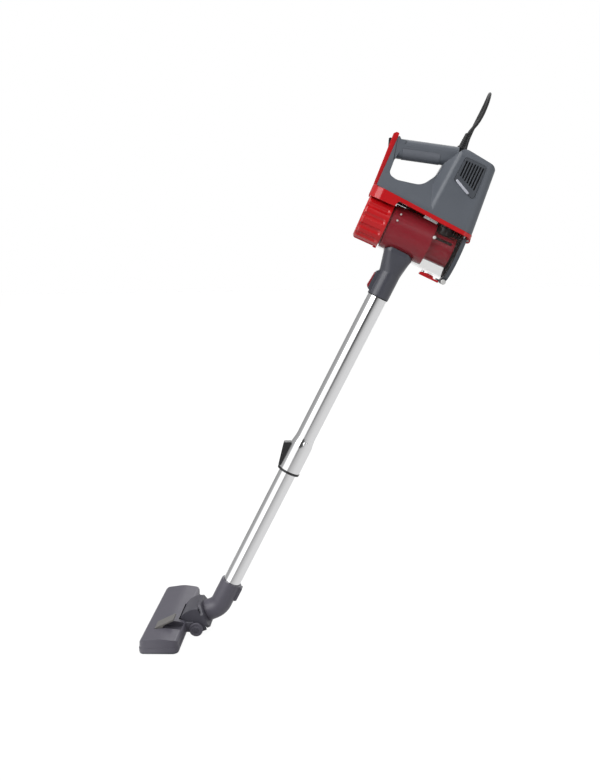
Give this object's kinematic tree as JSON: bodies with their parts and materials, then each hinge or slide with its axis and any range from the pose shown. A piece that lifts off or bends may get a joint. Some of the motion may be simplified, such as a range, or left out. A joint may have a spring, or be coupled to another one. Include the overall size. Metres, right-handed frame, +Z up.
{
  "type": "stick vacuum cleaner",
  "caption": "Corded stick vacuum cleaner: hand unit with clear dust cup and loop handle on a chrome telescopic wand with a swivelling wheeled floor head",
  "frame": {"origin": "on the floor, under the middle of the floor head", "axes": "+Z up, -X the way the cleaner faces, +Y its right-hand side seen from behind"},
  "size_m": [0.6214, 0.264, 0.9577],
  "materials": {
    "grey_plastic": "satin",
    "soft_grip": "matt",
    "red_plastic": "gloss",
    "dark_red_plastic": "gloss",
    "clear_plastic": "clear, slightly smoky",
    "black_plastic": "satin",
    "black_rubber": "matt",
    "chrome": "polished",
    "steel": "plain",
    "carbon": "matt",
    "filter_paper": "pleated",
    "foam": "open cell",
    "bristle": "fine strands"
  },
  "bodies": {
    "hand_unit": {"housing_left": "grey_plastic", "housing_right": "grey_plastic", "vent_grille_left": "grey_plastic", "vent_grille_right": "grey_plastic", "wand_connector": "grey_plastic", "handle_grip": "soft_grip", "front_spine": "red_plastic", "cup_cradle": "red_plastic", "filter_frame": "dark_red_plastic", "dust_cup": "clear_plastic", "switch_box": "black_plastic", "fan_cover": "black_plastic", "collar_ring": "black_plastic", "terminal_block": "black_plastic", "mains_plug": "black_plastic", "cap_seal": "black_rubber", "motor_cushion": "black_rubber", "connector_seal": "black_rubber", "cord_boot": "black_rubber", "mains_cord": "black_rubber", "cord_coil": "black_rubber", "cord_tie": "black_rubber", "upper_tube": "chrome", "lock_collar": "chrome", "housing_screws": "steel", "door_hinge_pin": "steel", "latch_spring": "steel", "motor_case": "steel", "lower_bearing": "steel", "upper_bearing": "steel", "carbon_brushes": "carbon", "filter_element": "filter_paper", "exhaust_foam": "foam"},
    "power_switch": {"power_switch": "black_plastic"},
    "cap_ring": {"cap_ring": "red_plastic"},
    "rotor": {"motor_rotor": "steel", "fan_impeller": "black_plastic"},
    "cup_door": {"cup_door": "grey_plastic", "door_seal": "black_rubber"},
    "door_latch": {"door_latch": "red_plastic"},
    "release_button": {"release_button": "red_plastic"},
    "lock_slider": {"lock_slider": "black_plastic", "lock_roller": "steel"},
    "lower_wand": {"lower_tube": "chrome", "tube_bush": "black_plastic", "elbow": "grey_plastic"},
    "neck": {"neck": "grey_plastic", "swivel_clip": "black_plastic"},
    "head": {"head_cover": "grey_plastic", "sole_plate": "black_plastic", "wheel_axle": "steel", "head_screws": "steel", "pedal_axle": "steel"},
    "wheel_left": {"wheel_left": "black_plastic"},
    "wheel_right": {"wheel_right": "black_plastic"},
    "pedal": {"pedal": "grey_plastic"},
    "brush": {"brush_front": "bristle", "brush_rear": "bristle", "brush_carrier": "black_plastic"}
  },
  "joints": [
    {"name": "switch_rock", "type": "hinge", "parent": "hand_unit", "child": "power_switch", "pos_m": [0.41117, 0, 0.86817], "axis": [0, 1, 0], "range_deg": [0, 12]},
    {"name": "cap_twist", "type": "hinge", "parent": "hand_unit", "child": "cap_ring", "pos_m": [0.38106, 0, 0.74208], "axis": [0.9063, 0, -0.4226], "range_deg": [0, 30]},
    {"name": "rotor_spin", "type": "hinge", "parent": "hand_unit", "child": "rotor", "pos_m": [0.529, 0, 0.78012], "axis": [0.4226, 0, 0.9063], "continuous": true},
    {"name": "door_swing", "type": "hinge", "parent": "hand_unit", "child": "cup_door", "pos_m": [0.53851, 0, 0.70232], "axis": [0, -1, 0], "range_deg": [0, 95]},
    {"name": "latch_press", "type": "hinge", "parent": "hand_unit", "child": "door_latch", "pos_m": [0.47454, 0, 0.64442], "axis": [0, 1, 0], "range_deg": [0, 10], "stiffness_Nm_per_rad": 0.3, "springref_deg": -5.73, "deforming": ["latch_spring"]},
    {"name": "button_press", "type": "slide", "parent": "hand_unit", "child": "release_button", "axis": [0.887, 0, -0.4617], "range_m": [0, 0.003], "stiffness_N_per_m": 400, "springref_m": -0.003},
    {"name": "lock_slide", "type": "slide", "parent": "hand_unit", "child": "lock_slider", "axis": [0.4617, 0, 0.887], "range_m": [0, 0.006], "stiffness_N_per_m": 400, "springref_m": -0.003},
    {"name": "wand_slide", "type": "slide", "parent": "hand_unit", "child": "lower_wand", "axis": [-0.4617, 0, -0.887], "range_m": [-0.2, 0.12]},
    {"name": "neck_swivel", "type": "hinge", "parent": "lower_wand", "child": "neck", "pos_m": [0.067, 0, 0.0315], "axis": [0.9239, 0, 0.3827], "range_deg": [-90, 90]},
    {"name": "head_pitch", "type": "hinge", "parent": "neck", "child": "head", "pos_m": [0.052, 0, 0.0125], "axis": [0, 1, 0], "range_deg": [-15, 35]},
    {"name": "wheel_left_turn", "type": "hinge", "parent": "head", "child": "wheel_left", "pos_m": [0.052, 0, 0.0125], "axis": [0, 1, 0], "continuous": true},
    {"name": "wheel_right_turn", "type": "hinge", "parent": "head", "child": "wheel_right", "pos_m": [0.052, 0, 0.0125], "axis": [0, 1, 0], "continuous": true},
    {"name": "pedal_press", "type": "hinge", "parent": "head", "child": "pedal", "pos_m": [-0.009, 0, 0.024], "axis": [0, 1, 0], "range_deg": [0, 14]},
    {"name": "brush_lift", "type": "slide", "parent": "head", "child": "brush", "axis": [0, 0, 1], "range_m": [0, 0.0045]}
  ],
  "couplings": [
    {"joint": "pedal_press", "follows": "brush_lift", "rad_per_m": 54.299}
  ]
}
